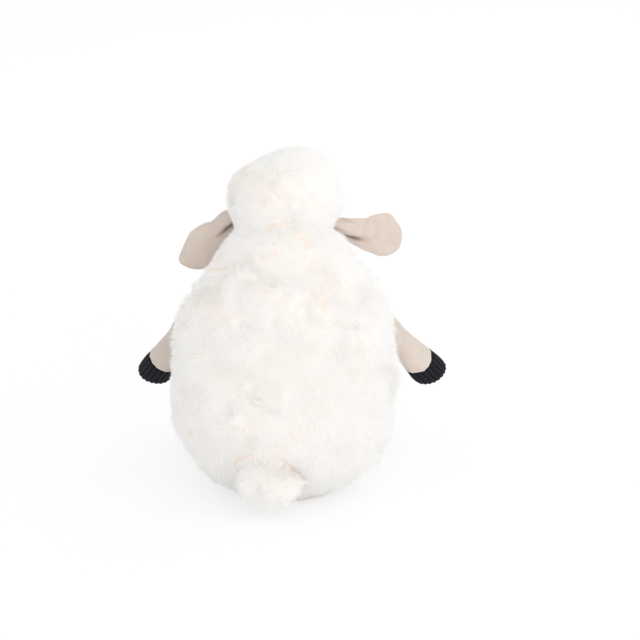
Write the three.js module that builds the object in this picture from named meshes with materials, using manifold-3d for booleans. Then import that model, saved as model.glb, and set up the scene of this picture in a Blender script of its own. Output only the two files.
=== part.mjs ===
// Sitting plush sheep: pile fur body, head and tail, short velour ears, arms, legs and face, corduroy hooves.
// Millimetres, +Z up. The sheep faces -Y and its left side is +X. The origin is the middle of its flat seat.
import * as THREE from 'three';
import { mergeVertices } from 'three/addons/utils/BufferGeometryUtils.js';
import Module from 'manifold-3d';

const wasm = await Module();
wasm.setup();

// Fits shared by every piece
const seamGap = 0.3;
const turningGap = 0.4;
const socketSides = 20;
const overrun = 600;
const probeRise = 1;
const probeTurn = 0.01;

// Body: an egg of pile fur over stuffing, on a flat seat with a pellet bag inside
const bodyHeight = 226;
const bodyHalfWidth = 96.5;
const bodyBackDepth = 87;
const bodyFrontDepth = 81.5;
const bodyWall = 8;
const seatPanelThickness = 4;
const backSeamX = 9;
const sideSeamY = -40;
const pelletBagHalfWidth = 44;
const pelletBagHeight = 24;
const pelletBagFootDegrees = 50;
const bodyOuterSides = 32;
const bodyInnerSides = 20;

// Height, half width, back depth and front depth of the body's rings, each a share of its own size above
const bodyRingShares = [
  [0, 0.453, 0.455, 0.558],
  [0.044, 0.63, 0.645, 0.752],
  [0.111, 0.797, 0.82, 0.897],
  [0.199, 0.93, 0.94, 0.982],
  [0.31, 0.99, 1, 1],
  [0.42, 1, 0.989, 0.958],
  [0.544, 0.983, 0.943, 0.897],
  [0.664, 0.941, 0.841, 0.8],
  [0.735, 0.885, 0.761, 0.727],
  [0.827, 0.766, 0.636, 0.655],
  [0.92, 0.607, 0.523, 0.57],
  [1, 0.458, 0.42, 0.509],
  [1.06, 0.3, 0.3, 0.38],
];

// Neck: the round underside of the head sits in a hollow of the body and nods there
const neckSink = 11;
const neckForward = 5;
const neckRadius = 42;
const neckLeanDegrees = 22;
const neckTrimBelow = 6;
const neckTrimAbove = 5;

// Head: an egg with a crown that leans to the sheep's right, and a muzzle
const headRise = 32;
const headForward = 20;
const headHalfWidth = 50;
const headBackDepth = 62;
const headFrontDepth = 52;
const headCrownHeight = 51.5;
const headLowerHeight = 39;
const headCrownLean = 12;
const headWall = 6;
const headOuterSides = 28;
const headInnerSides = 18;
const muzzleHalfWidth = 26;
const muzzleDepth = 24;
const muzzleHalfHeight = 22;
const muzzleForward = 53;
const muzzleDrop = 23;
const muzzleSides = 16;
const faceEdgeForward = 33;
const faceEdgeDrop = 7;
const faceEdgeLeanDegrees = 14;

// Face: safety eyes on washers, a stitched nose and a stitched mouth
const eyeRadius = 5.5;
const eyeHeight = 4;
const eyeStemRadius = 1.5;
const eyeStemReach = 6;
const eyeSideways = 24;
const eyeRise = 6;
const washerRadius = 6;
const washerThickness = 1.5;
const washerStandoff = 1.8;
const threadHeight = 1.2;
const noseWidth = 17;
const noseHeight = 11;
const noseRise = 6;
const mouthWidth = 16;
const mouthHeight = 13;
const mouthLine = 1.8;
const eyeSides = 12;

// Ears: two velour layers each, pinched to a round root
const earLength = 59;
const earHalfWidth = 18;
const earHalfThickness = 2.4;
const earRootRadius = 5.5;
const earBack = 42;
const earStandoff = 2.5;
const earLeftDrop = 15.6;
const earRightDrop = 22;
const earLeftHangDegrees = 47;
const earRightHangDegrees = 17;
const earSides = 12;

// Length, half width and half thickness of an ear's rings past its root ball, as shares of its sizes above
const earRingShares = [
  [0.17, 0.45, 1.5],
  [0.3, 0.72, 1.2],
  [0.48, 0.92, 1],
  [0.68, 1, 1],
  [0.84, 0.9, 1],
  [0.94, 0.66, 0.8],
  [0.985, 0.34, 0.5],
  [1, 0, 0],
];

// Arms: velour sleeves with corduroy hooves
const arm = {
  length: 82,
  radius: 13,
  rootSwell: 3,
  seamAt: 60,
  wall: 2.5,
  thicknessShare: 0.92,
  ringShares: [
    [0.17, 0.9],
    [0.32, 0.9],
    [0.55, 0.96],
    [0.7, 1.02],
    [0.84, 1.1],
    [0.94, 0.86],
    [0.985, 0.45],
    [1, 0],
  ],
};
const shoulderHeight = 136;
const shoulderSink = 9;
const armLeftAim = new THREE.Vector3(0.45, -0.5, -0.73);
const armRightAim = new THREE.Vector3(-0.61, -0.37, -0.7);

// Legs: the same build, thicker, lying forward on the floor
const leg = {
  length: 92,
  radius: 16.5,
  rootSwell: 2,
  seamAt: 66,
  wall: 2.5,
  thicknessShare: 1,
  ringShares: [
    [0.14, 0.92],
    [0.3, 0.9],
    [0.52, 0.95],
    [0.7, 1.02],
    [0.84, 1.1],
    [0.94, 0.86],
    [0.985, 0.45],
    [1, 0],
  ],
};
const hipBearingDegrees = -56;
const hipSink = 9;
const legAim = new THREE.Vector3(0.2, -0.98, 0);
const limbOuterSides = 14;
const limbInnerSides = 10;

// Tail: a short fur stub low on the back
const tail = {
  length: 25,
  radius: 20,
  rootSwell: -8,
  wall: 4,
  thicknessShare: 0.8,
  ringShares: [
    [0.22, 0.68],
    [0.44, 0.94],
    [0.62, 1],
    [0.82, 0.8],
    [0.94, 0.48],
    [1, 0],
  ],
};
const tailWidthShare = 1.22;
const tailHeight = 33;
const tailSideways = 11;
const tailSink = 10;
const tailMouthShare = 0.5;
const tailAim = new THREE.Vector3(0.06, 0.86, -0.5);
const ballRingShares = [-1, -0.8, -0.42, 0];

const UP = new THREE.Vector3(0, 0, 1);
const paint = {
  fur: { color: 0xf7f2ec, roughness: 0.95, metalness: 0 },
  velour: { color: 0xd6c9bd, roughness: 0.9, metalness: 0 },
  corduroy: { color: 0x1d1d20, roughness: 0.9, metalness: 0 },
  stuffing: { color: 0xf4f4f2, roughness: 1, metalness: 0 },
  pellets: { color: 0xdad6cc, roughness: 0.8, metalness: 0 },
  thread: { color: 0x3a2f2b, roughness: 0.7, metalness: 0 },
  eye: { color: 0x0a0908, roughness: 0.12, metalness: 0 },
  washer: { color: 0xe8e8e6, roughness: 0.4, metalness: 0 },
};

// Turns a closed three.js geometry into a solid that can be joined and cut
function solidOf(geometry) {
  const bare = new THREE.BufferGeometry();
  bare.setAttribute('position', geometry.getAttribute('position'));
  bare.setIndex(geometry.getIndex());
  const merged = mergeVertices(bare);
  const corners = merged.getIndex().array;
  const kept = [];
  for (let k = 0; k < corners.length; k += 3) {
    const [a, b, c] = corners.slice(k, k + 3);
    if (a !== b && b !== c && c !== a) kept.push(a, b, c);
  }
  const vertProperties = Float32Array.from(merged.getAttribute('position').array);
  return new wasm.Manifold(new wasm.Mesh({ numProp: 3, vertProperties, triVerts: Uint32Array.from(kept) }));
}

// Makes a named, painted mesh of a solid
function piece(name, solid, finish) {
  const mesh = solid.getMesh();
  const geometry = new THREE.BufferGeometry();
  geometry.setAttribute('position', new THREE.BufferAttribute(Float32Array.from(mesh.vertProperties), 3));
  geometry.setIndex(new THREE.BufferAttribute(Uint32Array.from(mesh.triVerts), 1));
  geometry.computeVertexNormals();
  const made = new THREE.Mesh(geometry, new THREE.MeshStandardMaterial(finish));
  made.name = name;
  return made;
}

// A block that fills everything on the normal's side of a point
function halfSpace(point, normal) {
  const block = new THREE.BoxGeometry(overrun, overrun, overrun);
  block.translate(0, 0, overrun / 2);
  block.applyQuaternion(new THREE.Quaternion().setFromUnitVectors(UP, normal));
  block.translate(point.x, point.y, point.z);
  return solidOf(block);
}

// The two sides of a flat seam, half the seam's gap away from it on each side
function splitAt(solid, point, normal) {
  const shift = normal.clone().multiplyScalar(seamGap / 2);
  const ahead = solid.intersect(halfSpace(point.clone().add(shift), normal));
  const behind = solid.intersect(halfSpace(point.clone().sub(shift), normal.clone().negate()));
  return [ahead, behind];
}

function ball(centre, radius, sides) {
  const sphere = new THREE.SphereGeometry(radius, sides, sides / 2);
  sphere.rotateX(Math.PI / 2);
  sphere.translate(centre.x, centre.y, centre.z);
  return solidOf(sphere);
}

// A round hollow whose flats stay the turning gap outside a root ball
function socket(centre, rootRadius, sides = socketSides) {
  return ball(centre, (rootRadius + turningGap) / Math.cos(Math.PI / sides) ** 2, sides);
}

// A closed skin through oval rings along +Z, with separate depths towards +Y and -Y
function loft(rings, sides) {
  const positions = [];
  const corners = [];
  for (const ring of rings) {
    for (let step = 0; step < sides; step++) {
      const angle = (2 * Math.PI * step) / sides;
      const depth = Math.sin(angle) > 0 ? ring.back : ring.front;
      positions.push(ring.halfWidth * Math.cos(angle), depth * Math.sin(angle), ring.at);
    }
  }
  const bottom = rings.length * sides;
  const top = bottom + 1;
  positions.push(0, 0, rings[0].at, 0, 0, rings.at(-1).at);
  const topRing = bottom - sides;
  for (let step = 0; step < sides; step++) {
    const next = (step + 1) % sides;
    for (let low = 0; low < topRing; low += sides) {
      const high = low + sides;
      corners.push(low + step, low + next, high + next, low + step, high + next, high + step);
    }
    corners.push(bottom, next, step, top, topRing + step, topRing + next);
  }
  const geometry = new THREE.BufferGeometry();
  geometry.setAttribute('position', new THREE.Float32BufferAttribute(positions, 3));
  geometry.setIndex(corners);
  return geometry;
}

// The body's ring at a height, between the rings of its table
function bodyOval(height) {
  const share = height / bodyHeight;
  const above = bodyRingShares.findIndex(([level]) => level > share);
  const low = bodyRingShares[above - 1];
  const high = bodyRingShares[above];
  const blend = (share - low[0]) / (high[0] - low[0]);
  const [, width, back, front] = low.map((value, k) => THREE.MathUtils.lerp(value, high[k], blend));
  return { halfWidth: width * bodyHalfWidth, back: back * bodyBackDepth, front: front * bodyFrontDepth };
}

// A point on the body's skin, at a bearing from +X towards +Y and a height
function bodyPoint(bearing, height) {
  const oval = bodyOval(height);
  const depth = Math.sin(bearing) > 0 ? oval.back : oval.front;
  return new THREE.Vector3(oval.halfWidth * Math.cos(bearing), depth * Math.sin(bearing), height);
}

function bodyNormal(bearing, height) {
  const point = bodyPoint(bearing, height);
  const along = bodyPoint(bearing + probeTurn, height).sub(point);
  const upward = bodyPoint(bearing, height + probeRise).sub(point);
  return along.cross(upward).normalize();
}

function bodySolid(inset, sides) {
  const rings = bodyRingShares.map(([level, width, back, front]) => ({
    at: level * bodyHeight,
    halfWidth: width * bodyHalfWidth - inset,
    back: back * bodyBackDepth - inset,
    front: front * bodyFrontDepth - inset,
  }));
  return solidOf(loft(rings, sides));
}

const neckPivot = new THREE.Vector3(0, -neckForward, bodyHeight - neckSink);
const neckAxis = UP.clone().applyAxisAngle(new THREE.Vector3(1, 0, 0), THREE.MathUtils.degToRad(neckLeanDegrees));
const headCentre = neckPivot.clone().add(new THREE.Vector3(0, -headForward, headRise));

// The ball that a limb or the tail turns on
function rootRadius(limb) {
  return limb.radius + limb.rootSwell;
}

// Where each limb, the tail and the head turn on the body
function shoulder(side) {
  const front = bodyOval(shoulderHeight).front;
  const bearing = Math.asin(sideSeamY / front);
  const point = bodyPoint(bearing, shoulderHeight);
  point.addScaledVector(bodyNormal(bearing, shoulderHeight), rootRadius(arm) - shoulderSink);
  point.x *= side;
  return point;
}

function hip(side) {
  const height = rootRadius(leg) + seamGap;
  const bearing = THREE.MathUtils.degToRad(hipBearingDegrees);
  const outward = bodyNormal(bearing, height).setZ(0).normalize();
  const point = bodyPoint(bearing, height).addScaledVector(outward, rootRadius(leg) - hipSink);
  point.x *= side;
  return point;
}

function tailRoot() {
  const bearing = Math.acos(tailSideways / bodyOval(tailHeight).halfWidth);
  return bodyPoint(bearing, tailHeight).addScaledVector(bodyNormal(bearing, tailHeight), rootRadius(tail) - tailSink);
}

function bodySockets() {
  const neck = socket(neckPivot, neckRadius, bodyOuterSides);
  const limbs = [1, -1].flatMap((side) => [
    socket(shoulder(side), rootRadius(arm)),
    socket(hip(side), rootRadius(leg)),
  ]);
  const tailHollow = socket(tailRoot(), rootRadius(tail));
  const neckRim = neckPivot.clone().addScaledVector(neckAxis, -neckTrimBelow);
  return [neck, ...limbs, tailHollow, halfSpace(neckRim, neckAxis)].reduce((all, one) => all.add(one));
}

// A low round cushion that stands on the seat panel, on a flat foot smaller than its middle
function pelletBag(grow) {
  const footTurn = THREE.MathUtils.degToRad(-pelletBagFootDegrees);
  const rise = (pelletBagHeight + grow) / (1 - Math.sin(footTurn));
  const profile = [];
  const steps = 8;
  for (let step = 0; step <= steps; step++) {
    const angle = footTurn + (Math.PI / 2 - footTurn) * (step / steps);
    const height = seatPanelThickness + seamGap + rise * (Math.sin(angle) - Math.sin(footTurn));
    profile.push(new THREE.Vector2((pelletBagHalfWidth + grow) * Math.cos(angle), height));
  }
  const foot = new THREE.Vector2(0, profile[0].y);
  const lathe = new THREE.LatheGeometry([foot, ...profile], bodyInnerSides);
  lathe.rotateX(Math.PI / 2);
  return solidOf(lathe);
}

function bodyPieces() {
  const outer = bodySolid(0, bodyOuterSides);
  const hollows = bodySockets();
  const seatTop = new THREE.Vector3(0, 0, seatPanelThickness);
  const aboveSeat = halfSpace(seatTop.clone().setZ(seatPanelThickness + seamGap), UP);
  const cover = outer.subtract(bodySolid(bodyWall, bodyInnerSides)).subtract(hollows).intersect(aboveSeat);
  const [back, belly] = splitAt(cover, new THREE.Vector3(0, sideSeamY, 0), new THREE.Vector3(0, 1, 0));
  const [backLeft, backRight] = splitAt(back, new THREE.Vector3(backSeamX, 0, 0), new THREE.Vector3(1, 0, 0));
  const seat = outer.subtract(hollows).subtract(halfSpace(seatTop, UP));
  const filling = bodySolid(bodyWall + seamGap, bodyInnerSides).subtract(hollows).intersect(aboveSeat);
  const pieces = new THREE.Group();
  pieces.add(piece('body_back_left', backLeft, paint.fur));
  pieces.add(piece('body_back_right', backRight, paint.fur));
  pieces.add(piece('body_belly', belly, paint.fur));
  pieces.add(piece('body_seat', seat, paint.velour));
  pieces.add(piece('body_stuffing', filling.subtract(pelletBag(seamGap)), paint.stuffing));
  pieces.add(piece('pellet_bag', pelletBag(0), paint.pellets));
  return pieces;
}

// Head shapes, in a frame whose origin is the head's centre. An inset shrinks each shape on all sides.
const neckInHead = neckPivot.clone().sub(headCentre);

function headEgg(inset, sides) {
  const egg = new THREE.SphereGeometry(1, sides, sides / 2);
  egg.rotateX(Math.PI / 2);
  const spots = egg.getAttribute('position');
  for (let k = 0; k < spots.count; k++) {
    const rise = spots.getZ(k);
    const lean = headCrownLean * Math.max(0, rise) ** 2;
    const depth = (spots.getY(k) > 0 ? headBackDepth : headFrontDepth) - inset;
    const height = (rise > 0 ? headCrownHeight : headLowerHeight) - inset;
    spots.setXYZ(k, spots.getX(k) * (headHalfWidth - inset) - lean, spots.getY(k) * depth, rise * height);
  }
  const lowEdge = neckInHead.clone().addScaledVector(neckAxis, neckTrimAbove + inset);
  return solidOf(egg).subtract(halfSpace(lowEdge, neckAxis.clone().negate()));
}

function muzzle(inset) {
  const bump = new THREE.SphereGeometry(1, muzzleSides, muzzleSides / 2);
  bump.rotateX(Math.PI / 2);
  bump.scale(muzzleHalfWidth - inset, muzzleDepth - inset, muzzleHalfHeight - inset);
  bump.translate(0, -muzzleForward, -muzzleDrop);
  return solidOf(bump);
}

function headSolid(inset, sides) {
  return headEgg(inset, sides).add(muzzle(inset)).add(ball(neckInHead, neckRadius - inset, sides));
}

// How far out the head's side is at a depth and a height below its centre
function headSide(y, z) {
  const left = 1 - (y / headFrontDepth) ** 2 - (z / headLowerHeight) ** 2;
  return headHalfWidth * Math.sqrt(left);
}

// A frame on the face, with its Z axis straight out of the skin at an eye
function eyeFrame(side) {
  const left = 1 - (eyeSideways / headHalfWidth) ** 2 - (eyeRise / headCrownHeight) ** 2;
  const seat = new THREE.Vector3(side * eyeSideways, -headFrontDepth * Math.sqrt(left), eyeRise);
  const squares = new THREE.Vector3(headHalfWidth, headFrontDepth, headCrownHeight);
  squares.multiply(squares);
  const outward = seat.clone().divide(squares).normalize();
  const turn = new THREE.Quaternion().setFromUnitVectors(UP, outward);
  return new THREE.Matrix4().compose(seat, turn, new THREE.Vector3(1, 1, 1));
}

function turned(points, frame) {
  const lathe = new THREE.LatheGeometry(points.map(([radius, height]) => new THREE.Vector2(radius, height)), eyeSides);
  lathe.rotateX(Math.PI / 2);
  lathe.applyMatrix4(frame);
  return solidOf(lathe);
}

function eyeSolid(frame) {
  const foot = -(headWall + eyeStemReach);
  const dome = [0, 0.25, 0.5, 0.75, 1].map((share) => {
    const angle = (Math.PI / 2) * share;
    return [eyeRadius * Math.cos(angle), seamGap + eyeHeight * Math.sin(angle)];
  });
  const stem = [[0, foot], [eyeStemRadius, foot], [eyeStemRadius, seamGap]];
  return turned([...stem, ...dome.slice(0, -1), [0, seamGap + eyeHeight]], frame);
}

function discAt(frame, radius, low, high) {
  return turned([[0, low], [radius, low], [radius, high], [0, high]], frame);
}

// A thin pad that follows the muzzle, cut to a flat outline seen from the front
function stitched(outlines) {
  const pad = muzzle(-seamGap - threadHeight).subtract(muzzle(-seamGap));
  const cutters = outlines.map((points) => {
    const outline = new THREE.Shape(points.map(([x, z]) => new THREE.Vector2(x, z)));
    const prism = new THREE.ExtrudeGeometry(outline, { depth: overrun / 2, bevelEnabled: false });
    prism.rotateX(Math.PI / 2);
    prism.translate(0, -muzzleForward, -muzzleDrop);
    return solidOf(prism);
  });
  return pad.intersect(cutters.reduce((all, one) => all.add(one)));
}

function noseOutline() {
  const shares = [[-0.5, 1], [-0.5, 0.7], [-0.3, 0.3], [0, 0], [0.3, 0.3], [0.5, 0.7], [0.5, 1]];
  return shares.map(([across, up]) => [across * noseWidth, noseRise - noseHeight * (1 - up)]);
}

// One straight stitch of the mouth between two points, each a share of the mouth's width and height
function stroke([x0, z0], [x1, z1]) {
  const top = noseRise - noseHeight - seamGap;
  const from = new THREE.Vector2(x0 * mouthWidth, top - z0 * mouthHeight);
  const to = new THREE.Vector2(x1 * mouthWidth, top - z1 * mouthHeight);
  const across = to.clone().sub(from).normalize().rotateAround(new THREE.Vector2(), Math.PI / 2);
  across.multiplyScalar(mouthLine / 2);
  const corners = [from.clone().sub(across), to.clone().sub(across), to.clone().add(across), from.clone().add(across)];
  return corners.map((corner) => [corner.x, corner.y]);
}

function mouthOutlines() {
  const forkShare = [0, 0.5];
  const endShares = [[0, 0], [-0.28, 0.85], [0.28, 0.85]];
  const tipShares = [[-0.5, 0.72], [0.5, 0.72]];
  const inner = endShares.map((end) => stroke(forkShare, end));
  const outer = tipShares.map((tip, k) => stroke(endShares[k + 1], tip));
  return [...inner, ...outer];
}

// An ear's two layers, in a frame whose origin is its root and whose Z axis runs along it
function earLayers() {
  const root = ballRingShares.map((share) => {
    const radius = earRootRadius * Math.sqrt(1 - share * share);
    return { at: share * earRootRadius, halfWidth: radius, back: radius, front: radius };
  });
  const blade = earRingShares.map(([along, width, thickness]) => ({
    at: along * earLength,
    halfWidth: width * earHalfWidth,
    back: thickness * earHalfThickness,
    front: thickness * earHalfThickness,
  }));
  const whole = solidOf(loft([...root, ...blade], earSides));
  return splitAt(whole, new THREE.Vector3(), new THREE.Vector3(0, 1, 0));
}

function earRoot(side) {
  const height = -(side > 0 ? earLeftDrop : earRightDrop);
  const depth = headCentre.y + earBack;
  return new THREE.Vector3(side * (headSide(depth, height) + earStandoff), -depth, height);
}

function ear(side, hangDegrees) {
  const name = side > 0 ? 'ear_left' : 'ear_right';
  const [back, front] = earLayers();
  const group = new THREE.Group();
  group.position.copy(earRoot(side));
  group.rotation.y = side * THREE.MathUtils.degToRad(90 + hangDegrees);
  group.add(piece(`${name}_back`, back, paint.velour));
  group.add(piece(`${name}_front`, front, paint.velour));
  return group;
}

function headPieces() {
  const ears = [1, -1].map((side) => socket(earRoot(side), earRootRadius));
  const hollows = ears[0].add(ears[1]);
  const cover = headSolid(0, headOuterSides).subtract(headSolid(headWall, headInnerSides)).subtract(hollows);
  const faceEdge = new THREE.Vector3(0, -faceEdgeForward, -faceEdgeDrop);
  const lean = THREE.MathUtils.degToRad(faceEdgeLeanDegrees);
  const [face, wool] = splitAt(cover, faceEdge, new THREE.Vector3(0, -Math.cos(lean), -Math.sin(lean)));
  const seam = new THREE.Vector3(backSeamX, 0, 0);
  const [woolLeft, woolRight] = splitAt(wool, seam, new THREE.Vector3(1, 0, 0));
  const washerBack = -(headWall + washerStandoff + washerThickness);
  const group = new THREE.Group();
  group.position.copy(headCentre);
  let facePanel = face;
  let filling = headSolid(headWall + seamGap, headInnerSides).subtract(hollows);
  for (const side of [1, -1]) {
    const name = side > 0 ? 'left' : 'right';
    const frame = eyeFrame(side);
    const stemFoot = -(headWall + eyeStemReach + seamGap);
    const bore = discAt(frame, eyeStemRadius + seamGap, stemFoot, eyeHeight);
    const pocket = discAt(frame, washerRadius + seamGap, washerBack - seamGap, 0);
    facePanel = facePanel.subtract(bore);
    filling = filling.subtract(pocket).subtract(bore);
    const disc = discAt(frame, washerRadius, washerBack, washerBack + washerThickness);
    group.add(piece(`eye_${name}`, eyeSolid(frame), paint.eye));
    group.add(piece(`eye_washer_${name}`, disc.subtract(bore), paint.washer));
  }
  group.add(piece('head_fur_left', woolLeft, paint.fur));
  group.add(piece('head_fur_right', woolRight, paint.fur));
  group.add(piece('face_panel', facePanel, paint.velour));
  group.add(piece('head_stuffing', filling, paint.stuffing));
  group.add(piece('nose_stitching', stitched([noseOutline()]), paint.thread));
  group.add(piece('mouth_stitching', stitched(mouthOutlines()), paint.thread));
  group.add(ear(1, earLeftHangDegrees), ear(-1, earRightHangDegrees));
  return group;
}

// A limb's skin along +Z: a root ball round the origin, then the rings of its own table
function limbSolid(limb, inset, sides, widthShare = 1) {
  const root = ballRingShares.map((share) => {
    const radius = (rootRadius(limb) - inset) * Math.sqrt(1 - share * share);
    return { at: share * (rootRadius(limb) - inset), halfWidth: radius, back: radius, front: radius };
  });
  const rest = limb.ringShares.map(([along, size]) => {
    const radius = Math.max(0, size * limb.radius - inset);
    const depth = radius * limb.thicknessShare;
    return { at: along * (limb.length - inset), halfWidth: radius * widthShare, back: depth, front: depth };
  });
  return solidOf(loft([...root, ...rest], sides));
}

function limbPieces(name, limb, pivot, aim) {
  const outer = limbSolid(limb, 0, limbOuterSides);
  const skin = outer.subtract(limbSolid(limb, limb.wall, limbInnerSides));
  const [hoof, sleeve] = splitAt(skin, new THREE.Vector3(0, 0, limb.seamAt), UP);
  const group = new THREE.Group();
  group.position.copy(pivot);
  group.quaternion.setFromUnitVectors(UP, aim.clone().normalize());
  group.add(piece(`${name}_sleeve`, sleeve, paint.velour));
  group.add(piece(`${name}_hoof`, hoof, paint.corduroy));
  group.add(piece(`${name}_stuffing`, limbSolid(limb, limb.wall + seamGap, limbInnerSides), paint.stuffing));
  return group;
}

// The tail's fur is open at its root, where it is sewn on
function tailPieces() {
  const outer = limbSolid(tail, 0, limbOuterSides, tailWidthShare);
  const inner = limbSolid(tail, tail.wall, limbInnerSides, tailWidthShare);
  const mouth = new THREE.Vector3(0, 0, -tailMouthShare * rootRadius(tail));
  const cover = outer.subtract(inner).intersect(halfSpace(mouth, UP));
  const filling = limbSolid(tail, tail.wall + seamGap, limbInnerSides, tailWidthShare);
  const group = new THREE.Group();
  group.position.copy(tailRoot());
  group.quaternion.setFromUnitVectors(UP, tailAim.clone().normalize());
  group.add(piece('tail_cover', cover, paint.fur));
  group.add(piece('tail_stuffing', filling, paint.stuffing));
  return group;
}

const sheep = new THREE.Group();
sheep.add(bodyPieces());
sheep.add(headPieces());
sheep.add(limbPieces('arm_left', arm, shoulder(1), armLeftAim));
sheep.add(limbPieces('arm_right', arm, shoulder(-1), armRightAim));
sheep.add(limbPieces('leg_left', leg, hip(1), legAim));
sheep.add(limbPieces('leg_right', leg, hip(-1), legAim.clone().setX(-legAim.x)));
sheep.add(tailPieces());
export default sheep;
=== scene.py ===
import math

import bpy
import numpy as np
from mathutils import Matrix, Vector, kdtree


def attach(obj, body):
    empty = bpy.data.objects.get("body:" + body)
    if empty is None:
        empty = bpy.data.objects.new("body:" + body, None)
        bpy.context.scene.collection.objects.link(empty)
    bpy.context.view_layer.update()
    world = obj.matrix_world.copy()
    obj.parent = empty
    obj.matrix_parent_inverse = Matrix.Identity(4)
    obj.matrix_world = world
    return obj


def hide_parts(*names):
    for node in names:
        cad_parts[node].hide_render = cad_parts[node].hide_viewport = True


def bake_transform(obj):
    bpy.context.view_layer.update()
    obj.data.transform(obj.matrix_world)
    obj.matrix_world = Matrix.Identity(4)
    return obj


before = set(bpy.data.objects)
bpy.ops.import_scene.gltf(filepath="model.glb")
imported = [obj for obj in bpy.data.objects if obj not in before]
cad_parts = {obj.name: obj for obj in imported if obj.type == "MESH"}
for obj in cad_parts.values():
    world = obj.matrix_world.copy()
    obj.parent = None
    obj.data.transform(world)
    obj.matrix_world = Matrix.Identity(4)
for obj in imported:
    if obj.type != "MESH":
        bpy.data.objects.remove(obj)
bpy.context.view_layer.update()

# A sitting plush sheep. Lengths are millimetres in the CAD model's frame until a mesh is made.
MM = 0.001
rng = np.random.default_rng(11)

# The photograph: its width in pixels, its millimetres per pixel, the camera's angle above the
# horizon, and the pixel where the origin falls
IMAGE_SIZE = 640
PIXEL = 0.86
ELEVATION = math.radians(15)
MIDDLE_X, GROUND_Y = 285, 488
TO_CAMERA = np.array([0, math.cos(ELEVATION), math.sin(ELEVATION)])

# ---- sizes that repeat the CAD model's ----
# Rings up the body: height, half width, depth behind and depth in front
BODY_SIZE = np.array([226, 96.5, 87, 81.5])
BODY_RINGS = np.array([
    [0, 0.453, 0.455, 0.558], [0.044, 0.63, 0.645, 0.752], [0.111, 0.797, 0.82, 0.897],
    [0.199, 0.93, 0.94, 0.982], [0.31, 0.99, 1, 1], [0.42, 1, 0.989, 0.958],
    [0.544, 0.983, 0.943, 0.897], [0.664, 0.941, 0.841, 0.8], [0.735, 0.885, 0.761, 0.727],
    [0.827, 0.766, 0.636, 0.655], [0.92, 0.607, 0.523, 0.57], [1, 0.458, 0.42, 0.509],
    [1.06, 0.3, 0.3, 0.38], [1.12, 0.03, 0.03, 0.03],
]) * BODY_SIZE
BODY_TOP = 248
NECK = np.array([0, -5, 215.0])
NECK_AXIS = np.array([0, -0.375, 0.927])
NECK_RADIUS = 42
NECK_SEAM = 6  # how far the seam round the neck lies below its middle
HEAD = np.array([0, -25, 247.0])
HEAD_HALF_WIDTH, HEAD_UP, HEAD_DOWN, HEAD_BACK, HEAD_FRONT = 50, 51.5, 39, 62, 52
CROWN_LEAN = 12
MUZZLE = np.array([0, -78, 224.0])
MUZZLE_SIZE = np.array([26, 24, 22.0])
FACE_POINT = np.array([0, -58, 240.0])
FACE_NORMAL = np.array([0, -math.cos(math.radians(14)), -math.sin(math.radians(14))])
BACK_SEAM_X = 9
SIDE_SEAM_Y = -40

# Limbs: the rings are shares of the length and of the radius
ARM = dict(length=82, radius=13, root=16, seam=60, depth=0.92,
           rings=[[0.17, 0.92], [0.32, 0.9], [0.55, 0.96], [0.7, 1.02], [0.84, 1.1]])
LEG = dict(length=92, radius=16.5, root=18.5, seam=66, depth=1.0,
           rings=[[0.16, 0.95], [0.3, 0.9], [0.52, 0.95], [0.7, 1.02], [0.84, 1.1]])
MIRROR = np.array([-1, 1, 1])
SHOULDER = np.array([80.872, -44.691, 137.4])
HIP = np.array([44.512, -64.461, 18.8])
SHOULDERS = SHOULDER, SHOULDER * MIRROR
HIPS = HIP, HIP * MIRROR
TAIL_ROOT = np.array([11.211, 76.569, 32.068])
EAR_ROOTS = {"left": np.array([45.311, -42, 231.4]), "right": np.array([-40.411, -42, 225.0])}
ARM_HOLLOW, LEG_HOLLOW, TAIL_HOLLOW = 15.6, 18.2, 11.5
TAIL_AIM = np.array([0.06, 0.86, -0.5])

# How deep under the CAD model's skin the backing of the pile lies, outside and inside
HIDE_DEPTH = 3.6
HIDE_INSIDE = 8.0


# ---- numbers ----
def unit(v):
    return v / np.maximum(np.linalg.norm(v, axis=-1, keepdims=True), 1e-9)


def eased(x, xs, ys):
    """A smooth curve through the points of a table."""
    slope = np.gradient(ys, xs)
    k = np.clip(np.searchsorted(xs, x) - 1, 0, len(xs) - 2)
    step = xs[k + 1] - xs[k]
    t = np.clip((x - xs[k]) / step, 0, 1)
    rise = 3 * t**2 - 2 * t**3
    bend = step * t * (1 - t) * ((1 - t) * slope[k] - t * slope[k + 1])
    return (1 - rise) * ys[k] + rise * ys[k + 1] + bend


def ramp(x, low, high):
    t = np.clip((x - low) / (high - low), 0, 1)
    return t * t * (3 - 2 * t)


def bell(x, middle, width):
    return np.exp(-(((x - middle) / width) ** 2))


LATTICE = np.random.default_rng(5).uniform(-1, 1, (40, 40, 40, 3))
FAR_INSIDE = 100.3  # keeps every point of the toy at positive places of the lattice


def noise(p, size, shift=0.0):
    """Three smooth random numbers at each point, whose bumps are about that size."""
    q = p / size + FAR_INSIDE + shift
    cell = np.floor(q).astype(int)
    f = q - cell
    f = f * f * (3 - 2 * f)
    total = 0
    for corner in np.ndindex(2, 2, 2):
        weight = np.prod(np.where(corner, f, 1 - f), axis=-1)
        i = (cell + corner) % len(LATTICE)
        total = total + weight[..., None] * LATTICE[i[..., 0], i[..., 1], i[..., 2]]
    return total


def union(a, b, round_by):
    h = np.clip(0.5 + 0.5 * (b - a) / round_by, 0, 1)
    return b + (a - b) * h - round_by * h * (1 - h)


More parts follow.
